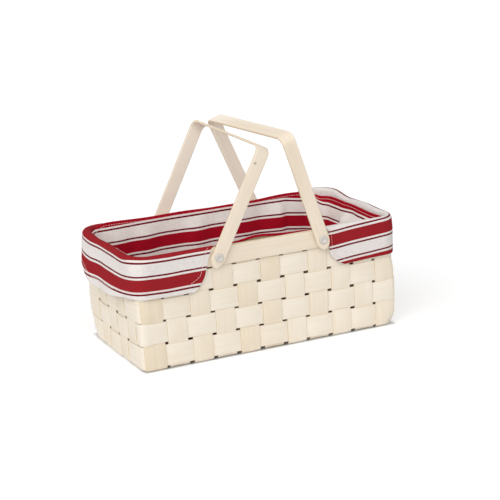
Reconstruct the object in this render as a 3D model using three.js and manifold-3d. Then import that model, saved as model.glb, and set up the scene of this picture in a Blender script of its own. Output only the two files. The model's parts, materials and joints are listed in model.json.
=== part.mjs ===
// A picnic basket woven from wide pine splints, with two riveted swing handles and a cloth liner.
// Millimetres, +Z up. +X runs along the basket, +Y across it from the front to the back.
// The origin is the middle of the footprint, on the surface that the basket stands on.
import * as THREE from "three";
import { mergeVertices } from "three/addons/utils/BufferGeometryUtils.js";
import Module from "manifold-3d";

const wasm = await Module();
wasm.setup();

// Driving dimensions

// Splints: flat strips of split pine. Cross splints run over the base and up both long walls, long splints
// run along the base and up both end walls, and hoops are woven round the upright ends.
const splintWidth = 25;
const splintThickness = 1;
const crossCount = 11;
const longCount = 5;
const rowCount = 4;
const stakeGap = 5.6; // open width between neighbouring uprights
const rowGap = 2.5; // open height between neighbouring hoops
const endShift = 2; // how much closer to the middle the outermost cross splints stand
const cornerAlong = 3.5; // how far an upright corner's curve reaches along a long wall
const cornerAcross = 15.8; // and along an end wall
const cornerClearance = 0.3; // from the curve to the nearest upright
const baseBend = 4; // bend radius where a splint turns up from the base
const baseClearance = 0.1; // from that bend to the lowest hoop
const endFlare = 0.025; // how far the end walls lean out, per millimetre of height
const hoopButt = 0.6; // gap between a hoop's two ends

// Rim: one band outside and one inside the uprights' top ends.
const rimHeight = 22;
const rimThickness = 2.2;
const rimClearance = 1.5; // from the top hoop to the bands
const scarfLength = 40; // where a band's two tapered ends lie on each other
const scarfTip = 0.4;

// Handles: bent wooden strips, each turning on two rivets through the rim.
const handleWidth = 17;
const handleThickness = 3;
const handleReach = 139.5; // from the rivets to the outside of the grip
const handleTail = 12.5; // from the rivets to the rounded ends of the legs
const handleBend = 12; // outside radius between a leg and the grip
const pivotUpright = 2; // which cross splint the rivets pass through, counted from the middle one
const pivotOffset = 6.8; // rivets, beyond the middle of that splint
const pivotDrop = 11.5; // rivets, below the rim's top
const gripLeft = -2.7; // how far right of the basket's middle the left grip leans
const gripRight = 21.5; // and the right grip
const rackLeft = 0.6; // how much further in a grip's back end leans than its middle
const rackRight = 6.2;

// Rivets, with one washer under each leg and one inside the rim.
const shankRadius = 2;
const boreClearance = 0.25;
const headRadius = 5.2;
const headHeight = 1.6;
const dimpleRadius = 2.6; // hollow in the middle of the head
const dimpleDepth = 0.5;
const tailRadius = 3.2; // end spread over the inside washer
const tailHeight = 0.9;
const washerRadius = 6.5;
const burrRadius = 5;
const burrThickness = 0.8;

// Liner: a cloth bag, with a cuff sewn to each end of it that turns down over the rim.
const clothThickness = 1.2;
const bagClearance = 0.4; // from the rivets' ends to the bag
const bagCorner = 8.5;
const bagDrop = 1.2; // bag's top edge, below the rim's top
const seamDepth = 11; // how far down inside the rim a cuff is sewn to the bag
const cuffDepth = 46.5; // hem, below the rim's top
const cuffStandoffAlong = 1.2; // from the outside band to the cuff, at the end walls
const cuffStandoffAcross = 0.5; // and at the long walls
const legClearance = 0.5; // from a cuff to the handles' legs that swing past it
const cuffStart = 8; // cuff's edge at the rim, beyond the rivets
const cuffSlant = 9; // how much further out that edge is where its round corner starts
const cuffRound = 22; // reach of the round corner along the hem
const cuffRoundHeight = 20; // and up the edge

// Fits
const touch = 0.3; // gap between pieces that rest on each other
const roundSides = 16;
const cornerSteps = 4;

// Worked-out places

const weaveStep = (splintThickness + touch) / 2; // a splint's middle, in or out of the wall's mid-surface
const weaveHalf = weaveStep + splintThickness / 2;
const stakePitch = splintWidth + stakeGap;
const rowPitch = splintWidth + rowGap;
const evenCentre = (k, count) => (k - (count + 1) / 2) * stakePitch;
const pulledIn = (j) => (j === 1 ? endShift : j === crossCount ? -endShift : 0);
const crossCentre = (j) => evenCentre(j, crossCount) + pulledIn(j);
const longCentre = (i) => evenCentre(i, longCount);
const wallPlace = (lastCentre, reach) =>
  lastCentre + splintWidth / 2 + cornerClearance + Math.max(reach, baseBend);
const halfLength = wallPlace(crossCentre(crossCount), cornerAlong);
const halfWidth = wallPlace(longCentre(longCount), cornerAcross);
const baseMid = weaveHalf;
const rowBottom = (row) => baseMid + baseBend + baseClearance + (row - 1) * rowPitch;
const rowTop = (row) => rowBottom(row) + splintWidth;
const rimBottom = rowTop(rowCount) + rimClearance;
const rimTop = rimBottom + rimHeight;
const pivotX = pivotUpright * stakePitch + pivotOffset;
const pivotZ = rimTop - pivotDrop;
const bandNear = splintThickness / 2 + touch; // a rim band's two faces, from the wall's mid-surface
const bandFar = bandNear + rimThickness;
const washerThickness = cuffStandoffAcross + clothThickness + legClearance - 2 * touch;
const legNear = halfWidth + bandFar + touch + washerThickness + touch; // inner face of a handle's leg
const legFar = legNear + handleThickness;
const boreRadius = shankRadius + boreClearance;

// Materials

const splintWood = { color: 0xe9dcc0, roughness: 0.7, metalness: 0 };
const rimWood = { color: 0xe8d9bb, roughness: 0.65, metalness: 0 };
const handleWood = { color: 0xeadbc0, roughness: 0.6, metalness: 0 };
const rivetMetal = { color: 0xcfccc4, roughness: 0.35, metalness: 0.8 };
const stripedCloth = { color: 0xd9b9b4, roughness: 0.9, metalness: 0 };

// Solids

function toSolid(geometry) {
  const bare = geometry.index ? geometry.toNonIndexed() : geometry.clone();
  bare.deleteAttribute("normal");
  bare.deleteAttribute("uv");
  const merged = mergeVertices(bare);
  return new wasm.Manifold(
    new wasm.Mesh({
      numProp: 3,
      vertProperties: new Float32Array(merged.attributes.position.array),
      triVerts: new Uint32Array(merged.index.array),
    }),
  );
}

function toGeometry(solid) {
  const mesh = solid.getMesh();
  const geometry = new THREE.BufferGeometry();
  geometry.setAttribute("position", new THREE.BufferAttribute(mesh.vertProperties, 3));
  geometry.setIndex(new THREE.BufferAttribute(mesh.triVerts, 1));
  return geometry;
}

const cut = (geometry, ...tools) =>
  toGeometry(tools.reduce((solid, tool) => solid.subtract(toSolid(tool)), toSolid(geometry)));
const common = (geometry, other) => toGeometry(toSolid(geometry).intersect(toSolid(other)));

// Extrudes an outline drawn flat, and stands it up: along Z from a height, or centred along X or Y.
const extrude = (shape, depth) =>
  new THREE.ExtrudeGeometry(shape, { depth, bevelEnabled: false, curveSegments: cornerSteps });
const extrudeUp = (shape, height, bottom) => extrude(shape, height).translate(0, 0, bottom);

function extrudeAlong(shape, depth, right, up, out) {
  const standing = new THREE.Matrix4().makeBasis(right, up, out);
  return extrude(shape, depth)
    .translate(0, 0, -depth / 2)
    .applyMatrix4(standing);
}

const axisX = new THREE.Vector3(1, 0, 0);
const axisY = new THREE.Vector3(0, 1, 0);
const axisZ = new THREE.Vector3(0, 0, 1);
const extrudeX = (shape, depth) => extrudeAlong(shape, depth, axisY, axisZ, axisX);
const extrudeY = (shape, depth) => extrudeAlong(shape, depth, axisX, axisZ, axisY.clone().negate());

// Leans the end walls out, the more the higher they are.
function flare(geometry) {
  const place = geometry.getAttribute("position");
  for (let k = 0; k < place.count; k++) {
    place.setX(k, place.getX(k) * (1 + (endFlare * place.getZ(k)) / halfLength));
  }
  return geometry;
}

// Racks a handle that stands on its rivets, so that its two legs lean differently.
function rack(geometry, shift) {
  const slope = shift / (handleReach * legFar);
  const place = geometry.getAttribute("position");
  for (let k = 0; k < place.count; k++) {
    place.setX(k, place.getX(k) + slope * place.getY(k) * place.getZ(k));
  }
  return geometry;
}

// Bands: a splint or rim band follows stations, each a point of the wall's mid-surface with its outward
// direction and how far out the band's two faces lie there.

const station = (x, y, outX, outY, inner, outer) => ({ x, y, outX, outY, inner, outer });

// A splint's station: step 1 passes outside what it crosses, -1 inside, and 0 runs in the middle.
function splintStation(x, y, outX, outY, step) {
  const middle = step * weaveStep;
  return station(x, y, outX, outY, middle - splintThickness / 2, middle + splintThickness / 2);
}

function bandOutline(stations) {
  const point = (s, out) => new THREE.Vector2(s.x + s.outX * out, s.y + s.outY * out);
  const outerFace = stations.map((s) => point(s, s.outer));
  const innerFace = stations.map((s) => point(s, s.inner));
  return new THREE.Shape([...outerFace, ...innerFace.reverse()]);
}

const outside = (isOut) => (isOut ? 1 : -1);
const crossOnWall = (j, row) => outside((j + row) % 2 === 0);
const crossOnBase = (j, i) => outside((j + i) % 2 === 1);
const longOnWall = (i, row) => outside((i + row) % 2 === 1);
const longOnBase = (i, j) => -crossOnBase(j, i);

// Cross and long splints: down one wall, over the base and up the other wall.

function wallStations(side, half, onWall) {
  const at = (height, step) => splintStation(side * half, height, side, 0, step);
  const stations = [at(rimTop, 0), at(rimBottom, 0)];
  for (let row = rowCount; row >= 1; row--) {
    stations.push(at(rowTop(row), onWall(row)), at(rowBottom(row), onWall(row)));
  }
  return stations;
}

function bendStations(side, half, wallStep, baseStep) {
  const stations = [];
  for (let k = 0; k <= cornerSteps; k++) {
    const share = k / cornerSteps;
    const angle = (share * Math.PI) / 2;
    const outX = side * Math.cos(angle);
    const outY = -Math.sin(angle);
    const x = side * (half - baseBend) + baseBend * outX;
    const y = baseMid + baseBend + baseBend * outY;
    stations.push(splintStation(x, y, outX, outY, wallStep + share * (baseStep - wallStep)));
  }
  return stations;
}

function uprightSplintOutline(half, crossings, centre, onWall, onBase) {
  const base = [];
  for (let k = 1; k <= crossings; k++) {
    base.push(splintStation(centre(k) - splintWidth / 2, baseMid, 0, -1, onBase(k)));
    base.push(splintStation(centre(k) + splintWidth / 2, baseMid, 0, -1, onBase(k)));
  }
  return bandOutline([
    ...wallStations(-1, half, onWall),
    ...bendStations(-1, half, onWall(1), onBase(1)),
    ...base,
    ...bendStations(1, half, onWall(1), onBase(crossings)).reverse(),
    ...wallStations(1, half, onWall).reverse(),
  ]);
}

// The rivets' holes, right through both long walls.
const boreLength = 2 * legFar + handleThickness;
const bore = () => new THREE.CylinderGeometry(boreRadius, boreRadius, boreLength, roundSides);
const bores = [-1, 1].map((side) => bore().translate(side * pivotX, 0, pivotZ));

function crossSplint(j) {
  const outline = uprightSplintOutline(
    halfWidth,
    longCount,
    longCentre,
    (row) => crossOnWall(j, row),
    (i) => crossOnBase(j, i),
  );
  const splint = flare(extrudeX(outline, splintWidth).translate(crossCentre(j), 0, 0));
  return cut(splint, ...bores);
}

function longSplint(i) {
  const outline = uprightSplintOutline(
    halfLength,
    crossCount,
    crossCentre,
    (row) => longOnWall(i, row),
    (j) => longOnBase(i, j),
  );
  return flare(extrudeY(outline, splintWidth).translate(0, longCentre(i), 0));
}

// Hoops: woven round the uprights, anticlockwise from above. The two ends meet behind an upright at the back.

const countUp = (count) => Array.from({ length: count }, (_, k) => k + 1);
const countDown = (count) => countUp(count).reverse();
const acrossUprights = { centre: crossCentre, onWall: crossOnWall };
const alongUprights = { centre: longCentre, onWall: longOnWall };
const backWall = 2;
const walls = [
  { ...acrossUprights, uprights: countUp(crossCount), at: (s) => [s, -halfWidth], out: [0, -1], way: 1 },
  { ...alongUprights, uprights: countUp(longCount), at: (s) => [halfLength, s], out: [1, 0], way: 1 },
  { ...acrossUprights, uprights: countDown(crossCount), at: (s) => [s, halfWidth], out: [0, 1], way: -1 },
  { ...alongUprights, uprights: countDown(longCount), at: (s) => [-halfLength, s], out: [-1, 0], way: -1 },
];
const corners = [
  { sideX: 1, sideY: -1, start: -Math.PI / 2 },
  { sideX: 1, sideY: 1, start: 0 },
  { sideX: -1, sideY: 1, start: Math.PI / 2 },
  { sideX: -1, sideY: -1, start: Math.PI },
];

// The quarter turn after a wall. Bands follow ellipses about one centre there.
function cornerStations({ sideX, sideY, start }, make) {
  const stations = [];
  for (let k = 0; k <= cornerSteps; k++) {
    const share = k / cornerSteps;
    const outX = Math.cos(start + (share * Math.PI) / 2);
    const outY = Math.sin(start + (share * Math.PI) / 2);
    const x = sideX * (halfLength - cornerAlong) + cornerAlong * outX;
    const y = sideY * (halfWidth - cornerAcross) + cornerAcross * outY;
    stations.push(make(x, y, outX, outY, share));
  }
  return stations;
}

function hoopOutline(row) {
  const middle = Math.ceil(crossCount / 2);
  const buttUpright = crossOnWall(middle, row) > 0 ? middle : middle + 1;
  const stations = [];
  let firstStation = 0;
  walls.forEach((wall, w) => {
    const hoopStep = (k) => -wall.onWall(k, row);
    for (const k of wall.uprights) {
      const place = (s) => splintStation(...wall.at(wall.centre(k) + wall.way * s), ...wall.out, hoopStep(k));
      stations.push(place(-splintWidth / 2));
      if (w === backWall && k === buttUpright) {
        stations.push(place(-hoopButt / 2));
        firstStation = stations.length;
        stations.push(place(hoopButt / 2));
      }
      stations.push(place(splintWidth / 2));
    }
    const next = walls[(w + 1) % walls.length];
    const from = hoopStep(wall.uprights.at(-1));
    const to = -next.onWall(next.uprights[0], row);
    const turn = (x, y, outX, outY, share) => splintStation(x, y, outX, outY, from + share * (to - from));
    stations.push(...cornerStations(corners[w], turn));
  });
  return bandOutline([...stations.slice(firstStation), ...stations.slice(0, firstStation)]);
}

const weaverHoop = (row) => flare(extrudeUp(hoopOutline(row), splintWidth, rowBottom(row)));

// Rim bands: bent right round, with a scarf at the middle of the back where the tapered ends overlap.

function rimBand(inner, outer) {
  const back = (x, near, far) => station(x, halfWidth, 0, 1, near, far);
  const end = scarfLength / 2;
  const step = scarfTip + touch;
  const turn = (x, y, outX, outY) => station(x, y, outX, outY, inner, outer);
  const [frontRight, backRight, backLeft, frontLeft] = corners.map((corner) => cornerStations(corner, turn));
  const outline = bandOutline([
    back(end, inner, inner + scarfTip),
    back(-end - touch, inner, outer - step),
    back(-end - 2 * touch, inner, outer),
    ...backLeft,
    ...frontLeft,
    ...frontRight,
    ...backRight,
    back(end + 2 * touch, inner, outer),
    back(end + touch, inner + step, outer),
    back(-end, outer - scarfTip, outer),
  ]);
  return cut(flare(extrudeUp(outline, rimHeight, rimBottom)), ...bores);
}

// Handles: a strip bent to a U that stands over the basket, its legs' ends rounded about the rivets.

function handle() {
  const path = (reach, bend, half) => {
    const line = new THREE.Path();
    line.moveTo(-half, -handleTail);
    line.lineTo(-half, reach - bend);
    line.absarc(-half + bend, reach - bend, bend, Math.PI, Math.PI / 2, true);
    line.absarc(half - bend, reach - bend, bend, Math.PI / 2, 0, true);
    line.lineTo(half, -handleTail);
    return line.getPoints(cornerSteps);
  };
  const outer = path(handleReach, handleBend, legFar);
  const inner = path(handleReach - handleThickness, handleBend - handleThickness, legNear);
  const strip = extrudeX(new THREE.Shape([...outer, ...inner.reverse()]), handleWidth);

  const legSide = new THREE.Shape();
  legSide.moveTo(handleWidth, handleReach + handleThickness);
  legSide.lineTo(-handleWidth, handleReach + handleThickness);
  legSide.lineTo(-handleWidth, 0);
  legSide.lineTo(-handleWidth / 2, 0);
  legSide.absellipse(0, 0, handleWidth / 2, handleTail, Math.PI, 2 * Math.PI, false, 0);
  legSide.lineTo(handleWidth, 0);
  return cut(common(strip, extrudeY(legSide, 2 * legFar + handleThickness)), bore());
}

// Rivets and washers, drawn for the back wall with +Y pointing out of the basket.

const revolve = (profile) => {
  const points = profile.map(([radius, y]) => new THREE.Vector2(radius, y));
  return new THREE.LatheGeometry(points, roundSides);
};

const legWasherSeat = halfWidth + bandFar + touch;
const rimWasherSeat = halfWidth - bandFar - touch - burrThickness;

function rivet() {
  const seat = legFar + touch;
  const tail = rimWasherSeat - touch;
  return revolve([
    [0, tail - tailHeight],
    [tailRadius, tail - tailHeight],
    [tailRadius, tail],
    [shankRadius, tail],
    [shankRadius, seat],
    [headRadius, seat],
    [headRadius, seat + headHeight / 2],
    [(headRadius + dimpleRadius) / 2, seat + headHeight],
    [dimpleRadius, seat + headHeight],
    [0, seat + headHeight - dimpleDepth],
  ]);
}

function washer(radius, thickness, seat) {
  return revolve([
    [boreRadius, seat],
    [radius, seat],
    [radius, seat + thickness],
    [boreRadius, seat + thickness],
    [boreRadius, seat],
  ]);
}

// Liner: prisms with round corners, each this far out of the walls' mid-surface.

function roundedPrism(outX, outY, cornerX, cornerY, bottom, top) {
  const shape = new THREE.Shape();
  for (const { sideX, sideY, start } of [...corners.slice(1), corners[0]]) {
    const x = sideX * (halfLength + outX - cornerX);
    const y = sideY * (halfWidth + outY - cornerY);
    shape.absellipse(x, y, cornerX, cornerY, start, start + Math.PI / 2, false, 0);
  }
  return extrudeUp(shape, top - bottom, bottom);
}

const bagOut = -bandFar - burrThickness - tailHeight - 2 * touch - bagClearance;
const skirtOutX = bandFar + cuffStandoffAlong;
const skirtOutY = bandFar + cuffStandoffAcross;
const overrun = 10; // how far a cutting prism runs past what it cuts

const bagPrism = (out, bottom, top) =>
  roundedPrism(bagOut + out, bagOut + out, bagCorner + out, bagCorner + out, bottom, top);
const skirtPrism = (out, bottom, top) =>
  roundedPrism(
    skirtOutX + out,
    skirtOutY + out,
    cornerAlong + skirtOutX + out,
    cornerAcross + skirtOutY + out,
    bottom,
    top,
  );

function linerBag() {
  const floor = 2 * weaveHalf + touch;
  const top = rimTop - bagDrop;
  const room = bagPrism(-clothThickness, floor + clothThickness, top + overrun);
  return flare(cut(bagPrism(0, floor, top), room));
}

// One end's cuff: a flange sewn to the bag inside the rim, a strip over the rim, and a skirt outside it.
function linerCuff(side) {
  const fold = rimTop + touch;
  const foldTop = fold + clothThickness;
  const hem = rimTop - cuffDepth;
  const flangeOut = touch + clothThickness;
  const insideFlange = bagPrism(flangeOut, hem - 2 * overrun, foldTop + overrun);
  const rimSpace = cut(skirtPrism(0, hem - overrun, fold), insideFlange);
  const bagSpace = bagPrism(touch, hem - overrun, foldTop + overrun);
  const belowSeam = bagPrism(flangeOut + touch, hem - overrun, rimTop - seamDepth);
  const allRound = flare(cut(skirtPrism(clothThickness, hem, foldTop), rimSpace, bagSpace, belowSeam));

  const rimEdge = pivotX + cuffStart;
  const lowEdge = rimEdge + cuffSlant;
  const hemStart = lowEdge + cuffRound;
  const farEnd = halfLength + cuffDepth;
  const outline = new THREE.Shape();
  outline.moveTo(side * rimEdge, foldTop + overrun);
  outline.lineTo(side * rimEdge, rimTop);
  outline.lineTo(side * lowEdge, hem + cuffRoundHeight);
  outline.quadraticCurveTo(side * (lowEdge + cuffSlant / 2), hem, side * hemStart, hem);
  outline.lineTo(side * hemStart, hem - overrun);
  outline.lineTo(side * farEnd, hem - overrun);
  outline.lineTo(side * farEnd, foldTop + overrun);
  return common(allRound, extrudeY(outline, 2 * (halfWidth + cuffDepth)));
}

// Assembly

function piece(name, geometry, finish) {
  const mesh = new THREE.Mesh(geometry, new THREE.MeshStandardMaterial(finish));
  mesh.name = name;
  return mesh;
}

const basket = new THREE.Group();
for (const j of countUp(crossCount)) {
  basket.add(piece(`cross_splint_${String(j).padStart(2, "0")}`, crossSplint(j), splintWood));
}
for (const i of countUp(longCount)) {
  basket.add(piece(`long_splint_${i}`, longSplint(i), splintWood));
}
for (const row of countUp(rowCount)) {
  basket.add(piece(`weaver_hoop_${row}`, weaverHoop(row), splintWood));
}
basket.add(piece("rim_band_outer", rimBand(bandNear, bandFar), rimWood));
basket.add(piece("rim_band_inner", rimBand(-bandFar, -bandNear), rimWood));

for (const [name, side, grip, shift] of [
  ["left", -1, gripLeft, rackLeft],
  ["right", 1, gripRight, -rackRight],
]) {
  const pivot = new THREE.Group();
  pivot.position.set(side * pivotX, 0, pivotZ);
  pivot.rotation.y = Math.asin((grip - side * pivotX) / handleReach);
  pivot.add(piece(`handle_${name}`, rack(handle(), shift), handleWood));
  basket.add(pivot);

  for (const [wall, turn] of [
    ["front", Math.PI],
    ["back", 0],
  ]) {
    const joint = new THREE.Group();
    joint.position.set(side * pivotX, 0, pivotZ);
    joint.rotation.z = turn;
    const legWasher = washer(washerRadius, washerThickness, legWasherSeat);
    const rimWasher = washer(burrRadius, burrThickness, rimWasherSeat);
    joint.add(piece(`rivet_${wall}_${name}`, rivet(), rivetMetal));
    joint.add(piece(`leg_washer_${wall}_${name}`, legWasher, rivetMetal));
    joint.add(piece(`rim_washer_${wall}_${name}`, rimWasher, rivetMetal));
    basket.add(joint);
  }
  basket.add(piece(`liner_cuff_${name}`, linerCuff(side), stripedCloth));
}
basket.add(piece("liner_bag", linerBag(), stripedCloth));

export default basket;
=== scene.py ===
import json
import math
from functools import lru_cache

import bmesh
import bpy
import numpy as np
from mathutils import Matrix, Vector


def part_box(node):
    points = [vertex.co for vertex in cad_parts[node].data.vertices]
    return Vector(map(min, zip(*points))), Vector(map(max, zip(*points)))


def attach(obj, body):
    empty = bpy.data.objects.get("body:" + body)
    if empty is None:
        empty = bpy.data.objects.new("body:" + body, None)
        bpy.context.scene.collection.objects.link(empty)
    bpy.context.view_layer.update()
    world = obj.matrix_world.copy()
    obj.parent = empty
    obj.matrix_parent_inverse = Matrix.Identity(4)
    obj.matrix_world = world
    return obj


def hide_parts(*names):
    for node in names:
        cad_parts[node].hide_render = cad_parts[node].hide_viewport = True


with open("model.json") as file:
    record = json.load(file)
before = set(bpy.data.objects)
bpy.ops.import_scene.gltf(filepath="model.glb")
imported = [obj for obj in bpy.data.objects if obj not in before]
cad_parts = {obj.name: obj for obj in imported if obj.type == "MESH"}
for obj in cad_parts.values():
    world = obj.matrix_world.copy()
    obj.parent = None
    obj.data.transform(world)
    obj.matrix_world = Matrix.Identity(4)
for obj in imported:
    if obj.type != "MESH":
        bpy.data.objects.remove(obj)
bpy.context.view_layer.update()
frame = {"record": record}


# Cross splints: eleven strips of split pine that run over the base and up both long walls.
# Each passes over and under the long splints on the base and the hoops on the walls, and bulges a little
# where it lies on top. Their upper ends are clamped in the rim.

mm = 0.001
splint_width = 25 * mm
splint_thickness = 1 * mm
cross_count, long_count, row_count = 11, 5, 4
cross_numbers, long_numbers = range(1, cross_count + 1), range(1, long_count + 1)
stake_pitch = 30.6 * mm
row_pitch = 27.5 * mm
end_shift = 2 * mm  # the outermost cross splints stand this much closer to the middle
rim_bottom, rim_top = (corner[2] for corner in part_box("rim_band_outer"))
band_near, band_far = 0.8 * mm, 3 * mm  # a rim band's two faces, off the walls' mid-surface
end_flare = 0.025  # how far the end walls lean out, per unit of height
rim_reach_x, rim_reach_y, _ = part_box("rim_band_outer")[1]
# At the rim, (half_length + band_far) * (1 + lean_at_top / half_length) is the outer band's reach.
lean_at_top = end_flare * rim_top
over = band_far + lean_at_top - rim_reach_x
half_length = (math.sqrt(over * over - 4 * band_far * lean_at_top) - over) / 2
half_width = rim_reach_y - band_far
base_mid = 1.15 * mm  # mid-surface of the woven base
base_bend = 2.6 * mm  # radius of the bend from the base to a wall
bend_top = base_mid + base_bend
first_row = 5.25 * mm  # lower edge of the lowest hoop

# The walls' mid-surface: straight runs, and corners that get rounder towards the rim.
corner_along, corner_across = 20 * mm, 30 * mm
corner_run = 43 * mm  # a corner's length, as places round the walls are counted
straight_along = half_length - corner_along
straight_across = half_width - corner_across
quarter = straight_along + corner_run + straight_across
full_turn = 4 * quarter
back_left, front_left = 2, 3  # corners are counted round from the front right
square_foot, square_middle, square_under_rim = 9, 7, 3


def ramp(value, low, high):
    """0 up to low, 1 from high, and smooth between them."""
    share = min(max((value - low) / (high - low), 0), 1)
    return share * share * (3 - 2 * share)


def squareness(height, corner):
    """0 for a round corner. The front left one is square at its foot, and the others bulge half way up."""
    level = min(max(height / rim_top, 0), 1)
    fading = (1 - level) ** 0.75
    if corner == front_left:
        return square_foot * fading
    round_foot = 0.4 if corner == back_left else 0.2
    bulging = square_middle * ramp(level, 0, round_foot) * (1 - level) ** 0.5
    return bulging + (square_under_rim * fading - bulging) * ramp(level, 0.45, 0.65)


@lru_cache(maxsize=None)
def corner_curve(level, corner):
    """A corner at a height in tenths of a millimetre: shares of its run, points and outward directions."""
    power = 2 + squareness(level * mm / 10, corner)
    turn = np.linspace(0, math.pi / 2, 61)
    u, v = np.sin(turn) ** (2 / power), np.cos(turn).clip(0) ** (2 / power)
    points = np.stack([corner_along * u, corner_across * v], axis=1)
    run = np.concatenate([[0], np.cumsum(np.linalg.norm(np.diff(points, axis=0), axis=1))])
    out = np.stack([u ** (power - 1) / corner_along, v ** (power - 1) / corner_across], axis=1)
    out /= np.linalg.norm(out, axis=1)[:, None]
    return run / run[-1], points, out


def wall_point(along, height, out, corner_height=None):
    """A point of the walls. along goes round them from the middle of the front, by way of the right end.
    Cloth can take its corners from another height."""
    turn, rest = divmod(along % full_turn, quarter)
    run = rest if turn % 2 == 0 else quarter - rest
    if run <= straight_along:
        x, y, out_x, out_y = run, half_width, 0, 1
    elif run >= straight_along + corner_run:
        x, y, out_x, out_y = half_length, quarter - run, 1, 0
    else:
        level = height if corner_height is None else corner_height
        share, points, outs = corner_curve(round(level / mm * 10), int(turn))
        place = (run - straight_along) / corner_run
        x = straight_along + np.interp(place, share, points[:, 0])
        y = straight_across + np.interp(place, share, points[:, 1])
        out_x = np.interp(place, share, outs[:, 0])
        out_y = np.interp(place, share, outs[:, 1])
    side_x = 1 if turn < 2 else -1
    side_y = 1 if turn in (1, 2) else -1
    flare = 1 + end_flare * height / half_length
    return Vector((side_x * (x + out * out_x) * flare, side_y * (y + out * out_y), height))


# Places round the walls, from the x or y that they have on each wall.
def front(x):
    return x


def right_end(y):
    return quarter + y


def back(x):
    return 2 * quarter - x


def left_end(y):
    return 3 * quarter - y


def cross_centre(j):
    pulled_in = end_shift if j == 1 else -end_shift if j == cross_count else 0
    return (j - (cross_count + 1) / 2) * stake_pitch + pulled_in


def long_centre(i):
    return (i - (long_count + 1) / 2) * stake_pitch


def row_middle(row):
    return first_row + (row - 1) * row_pitch + splint_width / 2


def alternate(total, out_when):
    """1 where a strip passes outside what it crosses, and -1 where it passes inside."""
    return 1 if total % 2 == out_when else -1


# Crossings are (middle, half of the flat part, level) along a strip, in order.
wall_level = 1.15 * mm  # how far a strip's middle rides off the mid-surface on the walls
base_level = 0.65 * mm
edge_press = 0.52  # how much of that is lost at a strip's edges


def weave_offset(crossings, at):
    """How far out of the mid-surface a woven strip lies at a place along it."""
    end, before = None, 0
    for middle, flat, level in crossings:
        if at < middle - flat:
            if end is None:
                return level
            share = (at - end) / (middle - flat - end)
            return level + (before - level) * (1 + math.cos(math.pi * share)) / 2
        if at <= middle + flat:
            return level
        end, before = middle + flat, level
    return before


def cupped(out, sideways):
    """A strip's offset where its edges press closer to what it crosses than its middle does."""
    return out * (1 - edge_press * (2 * sideways / splint_width) ** 2)


def map_strip(bm, uv_at, faces=None):
    """Writes a piece's UV map, in metres on the flat strip. uv_at(vert) gives each vertex its place."""
    uv = bm.loops.layers.uv.get("strip") or bm.loops.layers.uv.new("strip")
    for face in faces or bm.faces:
        for loop in face.loops:
            loop[uv].uv = uv_at(loop.vert)


def lay_grid(columns, rows, spot, uv_at, point_at):
    """A flat grid whose vertices get a place in the material by spot(column, row), then UV and position."""
    bm = bmesh.new()
    bmesh.ops.create_grid(bm, x_segments=columns, y_segments=rows, size=1)
    flat = {v: spot(round((v.co.x + 1) / 2 * columns), round((v.co.y + 1) / 2 * rows)) for v in bm.verts}
    map_strip(bm, lambda v: uv_at(*flat[v]))
    for v, place in flat.items():
        v.co = point_at(*place)
    return bm


def lay_strip(along, width, place, grain):
    """A strip cut flat and then laid by place(at, sideways)."""
    steps = 10

    def spot(column, row):
        return along[column], (row / steps - 0.5) * width

    return lay_grid(len(along) - 1, steps, spot, lambda at, sideways: (sideways, at + grain), place)


def new_object(name, bm, materials):
    mesh = bpy.data.meshes.new(name)
    bm.to_mesh(mesh)
    bm.free()
    for material in materials:
        mesh.materials.append(material)
    thing = bpy.data.objects.new(name, mesh)
    bpy.context.collection.objects.link(thing)
    return thing


def make_piece(name, bm, materials, body, slot, *nodes):
    """Turns a finished bmesh into an object that rides on a body and stands for its nodes."""
    piece = new_object(name, bm, materials)
    piece.data.shade_smooth()
    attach(piece, body)
    if nodes:
        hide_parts(*nodes)
    return piece


def set_tone(piece, tone_at):
    """Gives every point of a piece of wood its tone: 0 is the palest pine and 1 the most tan."""
    layer = piece.data.attributes.new("tone", "FLOAT", "POINT")
    layer.data.foreach_set("value", [tone_at(v.co) for v in piece.data.vertices])


def thicken(piece, thickness, edge, segments=2):
    solidify = piece.modifiers.new("thickness", "SOLIDIFY")
    solidify.thickness = thickness
    solidify.offset = 0
    bevel = piece.modifiers.new("eased edges", "BEVEL")
    bevel.width = edge
    bevel.segments = segments
    bevel.limit_method = "ANGLE"
    bevel.angle_limit = math.radians(60)
    bevel.harden_normals = True
    return solidify


def paint(red, green, blue):
    """A colour written as it looks on a screen, 0 to 255, as the linear colour that shaders take."""
    shares = (red / 255, green / 255, blue / 255)
    return (*[((c + 0.055) / 1.055) ** 2.4 if c > 0.04 else c / 12.92 for c in shares], 1)


def set_inputs(tree, node, inputs):
    """Fills a node's inputs. They are sockets to link or values to set, by name or number."""
    for name, value in inputs.items():
        if isinstance(value, bpy.types.NodeSocket):
            tree.links.new(value, node.inputs[name])
        else:
            node.inputs[name].default_value = value


def add_node(tree, kind, inputs, **settings):
    node = tree.nodes.new(kind)
    for name, value in settings.items():
        setattr(node, name, value)
    set_inputs(tree, node, inputs)
    return node


def math_node(tree, operation, *values):
    return add_node(tree, "ShaderNodeMath", dict(enumerate(values)), operation=operation).outputs[0]


def mix_colour(tree, factor, first, second, blend="MIX"):
    inputs = {0: factor, 6: first, 7: second}
    return add_node(tree, "ShaderNodeMix", inputs, data_type="RGBA", blend_type=blend).outputs[2]


def bump_node(tree, height, distance, strength):
    inputs = {"Height": height, "Distance": distance, "Strength": strength}
    return add_node(tree, "ShaderNodeBump", inputs).outputs[0]


def ramp_node(tree, value, low, high, start, end, kind="LINEAR"):
    inputs = {"Value": value, "From Min": low, "From Max": high, "To Min": start, "To Max": end}
    return add_node(tree, "ShaderNodeMapRange", inputs, interpolation_type=kind).outputs[0]


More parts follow.
